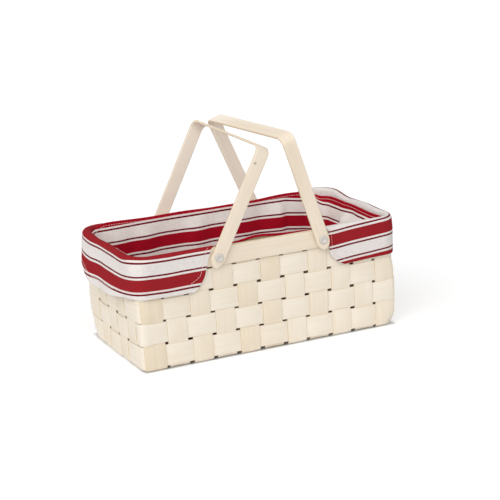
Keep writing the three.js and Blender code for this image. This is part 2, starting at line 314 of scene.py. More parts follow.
def noise_node(tree, place, scale, detail, roughness=0.5, dimensions="2D"):
    inputs = {"Vector": place, "Scale": scale, "Detail": detail, "Roughness": roughness}
    return add_node(tree, "ShaderNodeTexNoise", inputs, noise_dimensions=dimensions).outputs[0]


def new_material(name):
    material = bpy.data.materials.new(name)
    material.use_nodes = True
    return material, material.node_tree, material.node_tree.nodes["Principled BSDF"]


def new_group(name, inputs, outputs):
    tree = bpy.data.node_groups.new(name, "ShaderNodeTree")
    for side, sockets in (("INPUT", inputs), ("OUTPUT", outputs)):
        for socket, kind in sockets.items():
            tree.interface.new_socket(socket, in_out=side, socket_type=kind)
    return tree, tree.nodes.new("NodeGroupInput"), tree.nodes.new("NodeGroupOutput")


# Pine grain: fine fibres and wider growth bands that run along a strip, and a soft cloud of tone.
pine_grain, grain_in, grain_out = new_group(
    "pine_grain",
    {"Strip": "NodeSocketVector", "Tone": "NodeSocketFloat", "Half Width": "NodeSocketFloat"},
    {"Tan": "NodeSocketFloat", "Fibre": "NodeSocketFloat", "Edge": "NodeSocketFloat"},
)


def grain_noise(across, along, detail):
    inputs = {"Vector": grain_in.outputs["Strip"], "Scale": (across, along, 1)}
    stretched = add_node(pine_grain, "ShaderNodeMapping", inputs).outputs[0]
    return math_node(pine_grain, "SUBTRACT", noise_node(pine_grain, stretched, 1, detail, 0.55), 0.5)


fibre = grain_noise(across=1500, along=22, detail=3)
bands = grain_noise(across=260, along=3.5, detail=2)
cloud = grain_noise(across=40, along=12, detail=2)
tan = grain_in.outputs["Tone"]
for layer, amount in ((fibre, 0.42), (bands, 0.38), (cloud, 0.4)):
    tan = math_node(pine_grain, "MULTIPLY_ADD", layer, amount, tan)
across = add_node(pine_grain, "ShaderNodeSeparateXYZ", {0: grain_in.outputs["Strip"]}).outputs[0]
off_middle = math_node(pine_grain, "ABSOLUTE", across)
to_edge = math_node(pine_grain, "SUBTRACT", grain_in.outputs["Half Width"], off_middle)
results = {
    "Tan": math_node(pine_grain, "MINIMUM", math_node(pine_grain, "MAXIMUM", tan, 0), 1),
    "Fibre": math_node(pine_grain, "MULTIPLY_ADD", bands, 0.5, fibre),
    "Edge": ramp_node(pine_grain, to_edge, 0, 0.6 * mm, 1, 0),
}
set_inputs(pine_grain, grain_out, results)


def pine_material(name, pale, tan, edge_colour_and_shade, strip_half, roughness, relief, knot=None):
    """Bare pine: pale wood that turns tan along the grain, with darker edges, partly the cut edges' own
    colour and partly painted shade of the lines between strips, and perhaps one small knot.
    """
    material, tree, shader = new_material(name)
    strip = add_node(tree, "ShaderNodeUVMap", {}, uv_map="strip")
    tone = add_node(tree, "ShaderNodeAttribute", {}, attribute_name="tone")
    grain_inputs = {"Strip": strip.outputs[0], "Tone": tone.outputs["Fac"], "Half Width": strip_half}
    grain = add_node(tree, "ShaderNodeGroup", grain_inputs, node_tree=pine_grain)
    wood = mix_colour(tree, grain.outputs["Tan"], paint(*pale), paint(*tan))
    if knot:
        apart = add_node(tree, "ShaderNodeVectorMath", {0: strip.outputs[0], 1: knot}, operation="DISTANCE")
        ragged = math_node(tree, "MULTIPLY_ADD", grain.outputs["Fibre"], 3 * mm, apart.outputs["Value"])
        ring = ramp_node(tree, ragged, 0.4 * mm, 2.4 * mm, 0.8, 0)
        wood = mix_colour(tree, ring, wood, paint(160, 134, 112))
    # Partly painted shade: the edge faces and a 0.6 mm band along them are mixed towards the edge colour.
    edge = math_node(tree, "MULTIPLY", grain.outputs["Edge"], 0.6)
    surface = {
        "Base Color": mix_colour(tree, edge, wood, paint(*edge_colour_and_shade)),
        "Roughness": math_node(tree, "MULTIPLY_ADD", grain.outputs["Fibre"], 0.25, roughness),
        "Normal": bump_node(tree, grain.outputs["Fibre"], relief, 0.5),
        "Specular IOR Level": 0.3,
    }
    set_inputs(tree, shader, surface)
    return material


split_look = {
    "pale": (245, 235, 219),
    "tan": (226, 206, 172),
    "strip_half": splint_width / 2,
    "roughness": 0.62,
    "relief": 0.1 * mm,
}
splint_pine = pine_material("split_pine", edge_colour_and_shade=(200, 174, 136), **split_look)
splint_ease = 0.22 * mm
wall_run = rim_top - bend_top
bend_run = math.pi / 2 * base_bend
rim_half = (rim_top - rim_bottom) / 2
flat_on_wall, flat_on_base = 2 * mm, 4 * mm
drift_size = 0.35 * mm  # splints don't run quite straight


def spaced(start, *legs):
    """Places along a run whose legs are (end, steps) pairs."""
    places = [start]
    for end, steps in legs:
        places += list(np.linspace(places[-1], end, steps + 1))[1:]
    return places


def there_and_back(half):
    """Places along a run that is the same from both ends."""
    return half + [2 * half[-1] - at for at in reversed(half[:-1])]


def lay_upright(
    node, material, tone, grain, centre, half, near_wall, far_wall, inward,
    wall_sides, base_sides, base_middles,
):
    """One splint from the rim down the near wall, over the base and up the far wall to the rim."""
    total = 2 * (wall_run + bend_run + half - base_bend)
    near = [(rim_half, rim_half, 0)]
    for row in range(row_count, 0, -1):
        near.append((rim_top - row_middle(row), flat_on_wall, wall_sides(row) * wall_level))
    base = [(total / 2 + at, flat_on_base, side * base_level) for at, side in zip(base_middles, base_sides)]
    far = [(total - middle, flat, level) for middle, flat, level in reversed(near)]
    crossings = near + base + far

    def place(at, sideways):
        out = cupped(weave_offset(crossings, at), sideways)
        run, wall, towards = (at, near_wall, inward) if at <= total / 2 else (total - at, far_wall, -inward)
        drift = drift_size * math.sin(31 * at + 2.1 * grain)
        spot = wall(centre + sideways + drift)
        if run <= wall_run:
            return wall_point(spot, rim_top - run, out)
        turn = min((run - wall_run) / base_bend, math.pi / 2)
        foot = wall_point(spot, bend_top, 0)
        rim_of_bend = (towards * math.cos(turn) + Vector((0, 0, math.sin(turn)))) * (base_bend + out)
        shortened = (abs(foot.dot(towards)) - base_bend) / (half - base_bend)
        return foot + towards * (base_bend + max(run - wall_run - bend_run, 0) * shortened) - rim_of_bend

    wall_steps, bend_steps, base_steps = 50, 8, round((half - base_bend) / (2.4 * mm))
    legs = [(wall_run, wall_steps), (wall_run + bend_run, bend_steps), (total / 2, base_steps)]
    bm = lay_strip(there_and_back(spaced(0, *legs)), splint_width, place, grain)
    piece = make_piece(f"woven_{node}", bm, [material], "basket", "splint_wood", node)
    set_tone(piece, lambda place: tone)
    thicken(piece, splint_thickness, splint_ease)


along_x, along_y = Vector((1, 0, 0)), Vector((0, 1, 0))
cross_tones = [0.5, 0.16, 0.3, 0.26, 0.42, 0.46, 0.14, 0.24, 0.16, 0.2, 0.28]
for j in cross_numbers:
    lay_upright(
        f"cross_splint_{j:02d}",
        splint_pine,
        tone=cross_tones[j - 1],
        grain=0.73 * j,
        centre=cross_centre(j),
        half=half_width,
        near_wall=front,
        far_wall=back,
        inward=along_y,
        wall_sides=lambda row: alternate(j + row, 0),
        base_sides=[alternate(j + i, 1) for i in long_numbers],
        base_middles=[long_centre(i) for i in long_numbers],
    )


# Long splints: five strips of the same pine that run along the base and up both end walls. Their edges are
# painted paler than the cross splints', painted light that thins the shade lines between the strips on the
# end walls. They are woven through the cross splints on the base, and their ends are clamped in the rim.

long_pine = pine_material("split_pine_pale_edge", edge_colour_and_shade=(230, 214, 188), **split_look)
long_tones = [0.2, 0.28, 0.15, 0.24, 0.18]
for i in long_numbers:
    lay_upright(
        f"long_splint_{i}",
        long_pine,
        tone=long_tones[i - 1],
        grain=9.1 + 0.81 * i,
        centre=long_centre(i),
        half=half_length,
        near_wall=left_end,
        far_wall=right_end,
        inward=along_x,
        wall_sides=lambda row: alternate(i + row, 1),
        base_sides=[alternate(j + i, 0) for j in cross_numbers],
        base_middles=[cross_centre(j) for j in cross_numbers],
    )


# Hoops: four strips of pine woven round the walls, over and under the upright ends of the splints.
# They spread a little at the corners and sag on the left end wall. A hoop's two ends meet behind an upright
# at the back.

hoop_gap = 0.6 * mm
hoop_flat = 3 * mm
hoop_drift = 0.3 * mm
hoop_sag = 2.2 * mm
corner_spread, foot_spread, top_tuck = 0.09, 0.09, 0.05  # as shares of half a hoop's width
hoop_tones = [0.1, 0.06, 0.12, 0.05]
for row in range(1, row_count + 1):
    uprights = [(front(cross_centre(j)), -alternate(j + row, 0)) for j in cross_numbers]
    uprights += [(right_end(long_centre(i)), -alternate(i + row, 1)) for i in long_numbers]
    uprights += [(back(cross_centre(j)), -alternate(j + row, 0)) for j in reversed(cross_numbers)]
    uprights += [(left_end(long_centre(i)), -alternate(i + row, 1)) for i in reversed(long_numbers)]
    middle = (cross_count + 1) // 2
    butt = back(cross_centre(middle if alternate(middle + row, 0) > 0 else middle + 1))
    twice = uprights + [(at + full_turn, side) for at, side in uprights]
    covered = [(at, side) for at, side in twice if butt - mm < at < butt + full_turn + mm]
    crossings = [(at, hoop_flat, side * wall_level) for at, side in covered]

    def place_hoop(at, sideways):
        drift = hoop_drift * math.sin(19 * at + 1.7 * row)
        to_corner = abs((at + quarter) % (2 * quarter) - quarter) - straight_along - corner_run / 2
        spread = 1 + corner_spread * (1 - ramp(abs(to_corner), 9 * mm, 19 * mm))
        from_left_end = abs((at - left_end(0) + 2 * quarter) % full_turn - 2 * quarter)
        sag = hoop_sag * (1 - ramp(from_left_end, 25 * mm, 72 * mm))
        out = cupped(weave_offset(crossings, at), sideways)
        if row == row_count and sideways > 0:
            spread -= top_tuck
        if row == 1 and sideways < 0:
            spread += foot_spread
        return wall_point(at, row_middle(row) + sideways * spread + drift - sag, out)

    stations = np.linspace(butt + hoop_gap / 2, butt + full_turn - hoop_gap / 2, 561)
    bm = lay_strip(stations, splint_width, place_hoop, 20 + 1.3 * row)
    hoop = make_piece(f"woven_hoop_{row}", bm, [splint_pine], "basket", "splint_wood", f"weaver_hoop_{row}")
    set_tone(hoop, lambda place: hoop_tones[row - 1])
    thicken(hoop, splint_thickness, splint_ease)


# Rim: a sawn pine band outside and another inside the uprights' top ends, bent right round the basket.
# Each band's two ends are tapered and lie on each other at the middle of the back.

scarf_length = 40 * mm
scarf_tip = 0.4 * mm
rim_thickness = band_far - band_near
rim_ease = 0.5 * mm
rim_pine = pine_material(
    "sawn_pine",
    pale=(243, 231, 213),
    tan=(226, 205, 174),
    edge_colour_and_shade=(208, 184, 148),
    strip_half=rim_half,
    roughness=0.55,
    relief=0.08 * mm,
)


def extrude_ring(bm, ring):
    """Extrudes a row of edges, and returns the new vertices and the new row."""
    made = bmesh.ops.extrude_edge_only(bm, edges=ring)["geom"]
    fresh = {item for item in made if isinstance(item, bmesh.types.BMVert)}
    edges = [item for item in made if isinstance(item, bmesh.types.BMEdge)]
    return fresh, [e for e in edges if set(e.verts) <= fresh]


def sweep(width, thickness, edge, along, place, grain):
    """Carries a section with eased corners along a run. place(at, across, through) gives each point."""
    bm = bmesh.new()
    bmesh.ops.create_grid(bm, x_segments=1, y_segments=1, size=0.5)
    bmesh.ops.scale(bm, vec=(width, thickness, 1), verts=bm.verts)
    bmesh.ops.bevel(
        bm,
        geom=bm.verts[:],
        offset=edge,
        offset_type="OFFSET",
        segments=3,
        profile=0.5,
        affect="VERTICES",
        material=-1,
    )
    bmesh.ops.delete(bm, geom=bm.faces[:], context="FACES_ONLY")
    bmesh.ops.subdivide_edges(bm, edges=[e for e in bm.edges if e.calc_length() > width / 2], cuts=5)
    section = bm.verts.layers.float_vector.new("section")
    for v in bm.verts:
        v[section] = (v.co.x, v.co.y, along[0])
        v.co = place(along[0], v.co.x, v.co.y)
    first = ring = bm.edges[:]
    for at in along[1:]:
        fresh, ring = extrude_ring(bm, ring)
        for v in fresh:
            v[section] = (v[section].x, v[section].y, at)
            v.co = place(at, v[section].x, v[section].y)
    for cap in (first, ring):
        bmesh.ops.edgeloop_fill(bm, edges=cap)
    bmesh.ops.recalc_face_normals(bm, faces=bm.faces)
    map_strip(bm, lambda v: (v[section].x, v[section].z + grain + v[section].y))
    return bm


def lay_rim(node, tone, grain, inner, outer):
    start, end = back(scarf_length / 2), back(-scarf_length / 2) + full_turn
    taper = (outer - inner - 2 * scarf_tip) / scarf_length

    def place(at, across, through):
        low, high = inner, outer
        if at - start < scarf_length:
            high = inner + scarf_tip + taper * (at - start)
        if end - at < scarf_length:
            low = outer - scarf_tip - taper * (end - at)
        share = through / rim_thickness + 0.5
        return wall_point(at, rim_bottom + rim_half + across, low + (high - low) * share)

    stations = np.linspace(start, end, 300)
    bm = sweep(2 * rim_half, rim_thickness, rim_ease, stations, place, grain)
    rim = make_piece(f"bent_{node}", bm, [rim_pine], "basket", "rim_wood", node)
    rim.data.set_sharp_from_angle(angle=math.radians(50))
    set_tone(rim, lambda place: tone)


lay_rim("rim_band_outer", tone=0.25, grain=31, inner=band_near, outer=band_far)
lay_rim("rim_band_inner", tone=0.35, grain=37, inner=-band_far, outer=-band_near)


# Handles: two strips of smooth pine, steamed and bent to a U, whose legs' ends are rounded.
# Each turns on two rivets through the rim, and at rest they lean towards each other.

handle_width, handle_thickness = 17 * mm, 3 * mm
handle_reach, handle_tail = 139.5 * mm, 12.5 * mm
handle_bend = 12 * mm
leg_middle = 96.5 * mm
bend_middle = handle_bend - handle_thickness / 2
handle_ease = 0.7 * mm
leg_run = handle_tail + handle_reach - handle_bend
turn_run = math.pi / 2 * bend_middle
grip_half = leg_middle - bend_middle
handle_half = leg_run + turn_run + grip_half
handle_grain = {"left": 41, "right": 47}  # where each strip's grain starts, in metres
knot_place = (-4 * mm, handle_grain["left"] + 131.5 * mm, 0)
handle_look = {
    "pale": (249, 238, 222),
    "tan": (224, 203, 174),
    "edge_colour_and_shade": (222, 202, 172),
    "strip_half": handle_width / 2,
    "roughness": 0.5,
    "relief": 0.06 * mm,
}
plain_pine = pine_material("bent_pine", **handle_look)
knotted_pine = pine_material("bent_pine_with_knot", **handle_look, knot=knot_place)
pivots = {joint["child"]: Vector(joint["pos_m"]) for joint in frame["record"]["behaviour"]["joints"]}


def handle_path(at, through):
    """A point (y, z) of a handle standing on its rivets. at runs from the end of the front leg."""
    side, run = (-1, at) if at <= handle_half else (1, 2 * handle_half - at)
    if run <= leg_run:
        return side * (leg_middle + through), run - handle_tail
    turn = (run - leg_run) / bend_middle
    if turn <= math.pi / 2:
        radius = bend_middle + through
        y = grip_half + radius * math.cos(turn)
        return side * y, handle_reach - handle_bend + radius * math.sin(turn)
    return side * (handle_half - run), handle_reach - handle_thickness / 2 + through


def handle_stations():
    """Places along a handle, close together in the rounded ends and the bends."""
    rounded_end = [handle_tail * (1 - math.cos(k * math.pi / 28)) for k in range(1, 14)]
    straight = spaced(handle_tail, (leg_run, 39), (leg_run + turn_run, 14), (handle_half, 23))
    return there_and_back(rounded_end + straight)


def lay_handle(side, material, grip, rack, front_lift, back_lift, tone):
    """One handle, racked sideways and with the grip's two ends at slightly different heights.
    Its wood is painted palest on the back leg, painted light that makes up for the shade falling on it."""
    body = f"{side}_handle"
    pivot = pivots[body]
    lean = Matrix.Rotation(math.asin((grip - pivot.x) / handle_reach), 4, "Y")

    def place(at, across, through):
        y, z = handle_path(at, through)
        if z < 0:
            across *= math.sqrt(max(1 - (z / handle_tail) ** 2, 0))
        racked = across + y * z * rack / (handle_reach * (leg_middle + handle_thickness / 2))
        back_share = (y / leg_middle + 1) / 2
        lift = (front_lift + (back_lift - front_lift) * back_share) * max(z, 0) / handle_reach
        return pivot + lean @ Vector((racked, y, z + lift))

    bm = sweep(handle_width, handle_thickness, handle_ease, handle_stations(), place, handle_grain[side])
    handle = make_piece(f"bent_handle_{side}", bm, [material], body, "handle_wood", f"handle_{side}")
    handle.data.set_sharp_from_angle(angle=math.radians(50))
    # Painted light: the tan fades out towards the back leg, so that the leg in shade renders paler.
    set_tone(handle, lambda place: tone * (1 - ramp(place.y, 20 * mm, 95 * mm)))


left_pose = {"grip": -2.1 * mm, "rack": -1.2 * mm, "front_lift": 0, "back_lift": 2.6 * mm}
right_pose = {"grip": 21.5 * mm, "rack": -6.2 * mm, "front_lift": -1.2 * mm, "back_lift": 0.1 * mm}
lay_handle("left", knotted_pine, tone=0.38, **left_pose)
lay_handle("right", plain_pine, tone=0.46, **right_pose)


# Rivets and washers: a tubular aluminium rivet holds each leg, with a washer under the leg and a smaller
# one inside the rim, over which the rivet's end is spread. They are turned shapes of dull metal.

leg_far = leg_middle + handle_thickness / 2
shank_radius = 2 * mm
head_radius, head_height = 5.2 * mm, 1.6 * mm
touch = 0.3 * mm  # the gap between pieces that lie on each other
rim_washer_thickness = 0.8 * mm


def turned(profile):
    """A piece turned about Y from (radius, place on the axis) pairs."""
    bm = bmesh.new()
    line = [bm.verts.new((radius, place, 0)) for radius, place in profile]
    edges = [bm.edges.new(pair) for pair in zip(line, line[1:])]
    bmesh.ops.spin(
        bm, geom=line + edges, cent=(0, 0, 0), axis=(0, 1, 0), angle=2 * math.pi, steps=56, use_merge=True
    )
    bmesh.ops.remove_doubles(bm, verts=bm.verts, dist=1e-6)
    bmesh.ops.recalc_face_normals(bm, faces=bm.faces)
    return bm


def rounded_step(radius, low, high, ease):
    """Profile points up a rim of a given radius whose upper edge is eased."""
    turn = [math.pi / 2 * k / 5 for k in range(6)]
    eased = [(radius - ease + ease * math.cos(a), high - ease + ease * math.sin(a)) for a in turn]
    return [(radius, low), *eased]


metal, tree, shader = new_material("dull_aluminium")
place = add_node(tree, "ShaderNodeTexCoord", {}).outputs["Object"]
scuffs = noise_node(tree, place, 900, 4, 0.6, "3D")
surface = {
    "Base Color": mix_colour(tree, scuffs, paint(214, 210, 204), paint(186, 182, 176)),
    "Roughness": math_node(tree, "MULTIPLY_ADD", scuffs, 0.25, 0.3),
    "Normal": bump_node(tree, scuffs, 0.05 * mm, 0.3),
    "Metallic": 0.7,
}
set_inputs(tree, shader, surface)

seat = leg_far + touch
rim_washer_seat = half_width - band_far - touch - rim_washer_thickness
tail = rim_washer_seat - touch
top = seat + head_height
rivet_profile = [
    (0, tail - 0.7 * mm),
    (1.6 * mm, tail - 0.9 * mm),
    (2.8 * mm, tail - 0.8 * mm),
    (3.2 * mm, tail - 0.4 * mm),
    (3.2 * mm, tail),
    (shank_radius, tail),
    (shank_radius, seat),
    (head_radius - 0.3 * mm, seat),
    *rounded_step(head_radius, seat + 0.2 * mm, top - 0.3 * mm, 0.6 * mm),
    (3.9 * mm, top),
    (3.0 * mm, top),
    (2.7 * mm, top - 0.12 * mm),
    (2.45 * mm, top - 0.5 * mm),
    (2.0 * mm, top - 0.62 * mm),
    (0, top - 0.55 * mm),
]


def washer_profile(bore, radius, low, high, ease):
    rim = rounded_step(radius, low + ease, high, ease)
    return [(bore, low), (radius - ease, low), *rim, (bore, high), (bore, low)]


bore = shank_radius + 0.25 * mm
leg_washer_seat = half_width + band_far + touch
leg_washer_top = leg_far - handle_thickness - touch
rim_washer_top = rim_washer_seat + rim_washer_thickness
turned_kinds = {
    "rivet": rivet_profile,
    "leg_washer": washer_profile(bore, 6.5 * mm, leg_washer_seat, leg_washer_top, 0.3 * mm),
    "rim_washer": washer_profile(bore, 5 * mm, rim_washer_seat, rim_washer_top, 0.2 * mm),
}
for side in ("left", "right"):
    for wall, turn in (("front", math.pi), ("back", 0)):
        spot = Matrix.Translation(pivots[f"{side}_handle"]) @ Matrix.Rotation(turn, 4, "Z")
        for kind, profile in turned_kinds.items():
            bm = turned(profile)
            bm.transform(spot)
            node = f"{kind}_{wall}_{side}"
            piece = make_piece(f"turned_{node}", bm, [metal], "basket", "rivet_metal", node)
            piece.data.set_sharp_from_angle(angle=math.radians(40))


# Liner bag: striped cotton sewn to the basket's inside, with a folded and topstitched hem.
# It hangs loosely from the rim, stands a little above it on the long walls and lies flat on the base.

cloth_thickness = 0.7 * mm
stripe_repeat = 37.4 * mm
red_width, line_gap, line_width, white_width = 14.4 * mm, 2.4 * mm, 2.1 * mm, 13.9 * mm
bag_inset_at_rim = 6.3 * mm
floor_height = 3.4 * mm
floor_bend = 9 * mm
hem_depth, hem_depth_at_front = 10 * mm, 3.4 * mm
hem_fold = 0.55 * mm  # the fold's radius
end_top, back_top = 134.3 * mm, 140 * mm  # heights of the top edge
front_rise, front_bump = 2.4 * mm, 3.4 * mm  # how far it stands above end_top between the handles
right_dip, back_rise = 1.8 * mm, 1.3 * mm  # its dip at the right end and its rise to the back's corners
stripe_margin = 2.2 * mm  # from the front's top edge down to the topmost red stripe
stripe_at_back, stripe_fall = 137.6 * mm, 10.6 * mm  # that stripe's height at the back and fall to the right
fold_waves = ((1.5 * mm, 10, 0.8), (1.3 * mm, 17, 2.2), (0.8 * mm, 29, 1.2))  # size, count, start
slack, crease_depth, bulge_depth, front_lean = 2.4 * mm, 2.6 * mm, 9 * mm, 3.2 * mm


def wave(along, count, start=0):
    """A wave that runs a whole number of times round the walls."""
    return math.sin(2 * math.pi * count * along / full_turn + start)


def hump(x, middle, reach):
    """1 at the middle, falling to nearly 0 at twice the reach."""
    return math.exp(-(((x - middle) / reach) ** 2))


def seen_from_above(along):
    """Where a place round the walls is, seen from above."""
    spot = wall_point(along, rim_top, 0)
    return spot.x, spot.y


def bag_top(along):
    """Height of the bag's top edge."""
    x, y = seen_from_above(along)
    uneven = 0.5 * mm * wave(along, 8) + 0.35 * mm * wave(along, 13, 1)
    end_level = end_top - right_dip * ramp(x, 140 * mm, 165 * mm)
    back_level = back_top + back_rise * ramp(abs(x), 40 * mm, 100 * mm)
    if y > 0:
        inside = ramp(x, -164 * mm, -140 * mm) * (1 - ramp(x, 118 * mm, 164 * mm))
        return end_level + (back_level - end_level) * inside + uneven
    standing = ramp(x, -74 * mm, -60 * mm) * (1 - ramp(x, 45 * mm, 70 * mm))
    rise = front_rise + front_bump * hump(x, -12 * mm, 22 * mm)
    return end_level + rise * standing + uneven


def stripe_level(along):
    """Height at which the topmost red stripe of the bag ends. The stripes run down a little to the right."""
    x, y = seen_from_above(along)
    to_right, to_left = ramp(x, 120 * mm, 165 * mm), ramp(-x, 120 * mm, 165 * mm)
    at_front = bag_top(along) - stripe_margin - 4 * mm * to_right + 3 * mm * to_left
    slope = min(max((x - 104 * mm) / (62 * mm), 0), 1)
    at_back = stripe_at_back - stripe_fall * slope - 1.5 * mm * ramp(-x, 60 * mm, 160 * mm)
    at_back -= 2 * mm * ramp(x, 148 * mm, 166 * mm)
    return at_front + (at_back - at_front) * ramp(y, -50 * mm, 50 * mm)


def bag_inset(along, height):
    """How far inside the walls' mid-surface the bag hangs."""
    x, y = seen_from_above(along)
    low = min(2.2 * math.sin(math.pi * min(max(height / rim_top, 0), 1)), 1)
    folds = sum(size * wave(along, count, start) for size, count, start in fold_waves)
    inset = bag_inset_at_rim + (slack + folds) * low
    if y > 0:
        crease = crease_depth * hump(x, 97 * mm, 7 * mm)
        inset += crease * ramp(rim_top + 4 * mm - height, 0, 12 * mm) * ramp(height, 20 * mm, 60 * mm)
    if x > 140 * mm:
        bulge = (1 - ramp(y, 23 * mm, 29 * mm)) * ramp(y, -76 * mm, -50 * mm)
        inset += bulge_depth * bulge * ramp(122 * mm - height, 0, 12 * mm) * ramp(height, 10 * mm, 60 * mm)
    if y < 0:
        inset += front_lean * hump(x, -22 * mm, 30 * mm) * ramp(height, 122 * mm, 140 * mm)
    return inset


def bag_point(along, depth):
    """A point of the bag: depth runs down the inside from the top edge, and is negative on the hem that is
    turned out. The cloth keeps the rim's round corners all the way down."""
    fold_height = bag_top(along) - hem_fold
    if depth < 0:
        turn = min(-depth / hem_fold, math.pi)
        height = fold_height + hem_fold * math.sin(turn) - max(-depth - math.pi * hem_fold, 0)
        return wall_point(along, height, hem_fold * (1 - math.cos(turn)) - bag_inset(along, height), rim_top)
    floor_start = floor_height + floor_bend
    height = max(fold_height - depth, floor_start)
    point = wall_point(along, height, -bag_inset(along, height), rim_top)
    turn = min((depth - (fold_height - floor_start)) / floor_bend, math.pi / 2)
    if turn > 0:
        drawn_in = floor_bend * (1 - math.cos(turn))
        point.x *= 1 - drawn_in / half_length
        point.y *= 1 - drawn_in / half_width
        point.z -= floor_bend * math.sin(turn)
    return point


def bag_stripe(along, depth):
    """Distance across the stripes, counted from the top of a red one."""
    return red_width + stripe_level(along) - (bag_top(along) - depth)


def hem_turned(along):
    """How much cloth is turned out at the top edge: least between the handles at the front."""
    x, y = seen_from_above(along)
    between = ramp(x, -78 * mm, -66 * mm) * (1 - ramp(x, 62 * mm, 76 * mm)) if y < 0 else 0
    return hem_depth + (hem_depth_at_front - hem_depth) * between


round_steps = 260
hem_rows = list(np.linspace(-1, -0.18, 5)) + list(np.linspace(-0.173, 0, 6))
wall_rows = list(np.linspace(0, 1, 36))[1:]


def bag_spot(column, row):
    along = column / round_steps * full_turn
    if row < len(hem_rows):
        return along, hem_rows[row] * hem_turned(along)
    full = bag_top(along) - hem_fold - floor_height - floor_bend * (1 - math.pi / 2)
    return along, wall_rows[row - len(hem_rows)] * full


bm = lay_grid(
    round_steps,
    len(hem_rows) + len(wall_rows) - 1,
    bag_spot,
    lambda along, depth: (along, bag_stripe(along, depth)),
    bag_point,
)
bmesh.ops.remove_doubles(bm, verts=bm.verts, dist=0.01 * mm)

# The floor: the walls' bottom edge drawn in, ring by ring, and closed in the middle.
floor_stripe_start = 200 * mm
rumple_size = 0.5 * mm
wall_faces = set(bm.faces)
ring = [e for e in bm.edges if e.is_boundary and max(v.co.z for v in e.verts) < floor_height + floor_bend]
before = 1
for share in (0.96, 0.91, 0.84, 0.75, 0.64, 0.52, 0.4):
    fresh, ring = extrude_ring(bm, ring)
    bmesh.ops.scale(bm, vec=(share / before, share / before, 1), verts=list(fresh))
    before = share
    for v in fresh:
        rumple = math.sin(61 * v.co.x + 40 * v.co.y) * math.sin(53 * v.co.y)
        v.co.z = floor_height + rumple_size * rumple
bmesh.ops.edgeloop_fill(bm, edges=ring)
floor_faces = [face for face in bm.faces if face not in wall_faces]
map_strip(bm, lambda v: (v.co.x, v.co.y + floor_stripe_start), floor_faces)
bm.normal_update()
lowest = min(bm.faces, key=lambda face: face.calc_center_median().length)
if lowest.normal.z < 0:
    bmesh.ops.reverse_faces(bm, faces=bm.faces)

# Cotton: a plain weave of threads with soft slubs, and stripes that follow the cloth.
cloth_weave, weave_in, weave_out = new_group(
    "cloth_weave",
    {"Cloth": "NodeSocketVector", "Thread": "NodeSocketFloat"},
    {"Height": "NodeSocketFloat", "Slub": "NodeSocketFloat"},
)
axes = add_node(cloth_weave, "ShaderNodeSeparateXYZ", {0: weave_in.outputs["Cloth"]})
phases = [math_node(cloth_weave, "MULTIPLY", axes.outputs[k], weave_in.outputs["Thread"]) for k in (0, 1)]
warp, weft = (math_node(cloth_weave, "SINE", phase) for phase in phases)
thread_inputs = {"Vector": weave_in.outputs["Cloth"], "Scale": (60, 1400, 1)}
long_threads = add_node(cloth_weave, "ShaderNodeMapping", thread_inputs).outputs[0]
slub = noise_node(cloth_weave, long_threads, 1, 3)
crossed = math_node(cloth_weave, "MULTIPLY", warp, weft)
set_inputs(cloth_weave, weave_out, {"Height": crossed, "Slub": slub})

stripe_starts = np.cumsum([0, red_width, line_gap, line_width, white_width, line_width]) / stripe_repeat


def cotton(name, red, dark_line, white, worn, worn_share):
    """Striped cotton. worn is the shade of its darker threads and patches."""
    colours = [red, white, dark_line, white, dark_line, white]
    material, tree, shader = new_material(name)
    cloth = add_node(tree, "ShaderNodeUVMap", {}, uv_map="strip")
    weave_inputs = {"Cloth": cloth.outputs[0], "Thread": 9000.0}
    weave = add_node(tree, "ShaderNodeGroup", weave_inputs, node_tree=cloth_weave)
    across = add_node(tree, "ShaderNodeSeparateXYZ", {0: cloth.outputs[0]}).outputs[1]
    ragged = math_node(tree, "MULTIPLY_ADD", weave.outputs["Slub"], 0.25 * mm, across)
    share = math_node(tree, "FRACT", math_node(tree, "DIVIDE", ragged, stripe_repeat))
    stripes = add_node(tree, "ShaderNodeValToRGB", {0: share})
    stripes.color_ramp.interpolation = "CONSTANT"
    while len(stripes.color_ramp.elements) < len(colours):
        stripes.color_ramp.elements.new(0.5)
    for element, start, colour in zip(stripes.color_ramp.elements, stripe_starts, colours):
        element.position = start
        element.color = paint(*colour)
    patches = noise_node(tree, cloth.outputs[0], 260, 4, 0.65)
    slubs = math_node(tree, "ADD", weave.outputs["Slub"], 0.5)
    uneven = math_node(tree, "MULTIPLY", patches, slubs)
    faded = math_node(tree, "MULTIPLY", uneven, worn_share)
    surface = {
        "Base Color": mix_colour(tree, faded, stripes.outputs[0], paint(*worn), "MULTIPLY"),
        "Normal": bump_node(tree, weave.outputs["Height"], 0.06 * mm, 0.5),
        "Roughness": 0.9,
        "Specular IOR Level": 0.06,
    }
    set_inputs(tree, shader, surface)
    return material


# Painted light: the bag is the cuffs' cloth painted paler, with a brighter red, standing in for light that
# the inside of the basket lacks.
bag_cotton_painted_light = cotton(
    "bag_cotton_painted_light",
    red=(175, 18, 40),
    dark_line=(122, 25, 40),
    white=(252, 246, 241),
    worn=(170, 160, 158),
    worn_share=0.3,
)
# The cloth's reverse: partly the muted back of the print, partly painted shade. Its white is darkened to tan
# brown so that it looks dark through the gaps of the weave and where it shows at the hems.
cotton_reverse_painted_shade = cotton(
    "cotton_reverse_painted_shade",
    red=(138, 54, 50),
    dark_line=(112, 58, 52),
    white=(196, 168, 136),
    worn=(170, 140, 110),
    worn_share=0.4,
)

cloth_ease = 0.15 * mm
cottons = [bag_cotton_painted_light, cotton_reverse_painted_shade]
liner_bag = make_piece("sewn_liner_bag", bm, cottons, "basket", "striped_cloth", "liner_bag")
thicken(liner_bag, cloth_thickness, cloth_ease).material_offset = 1


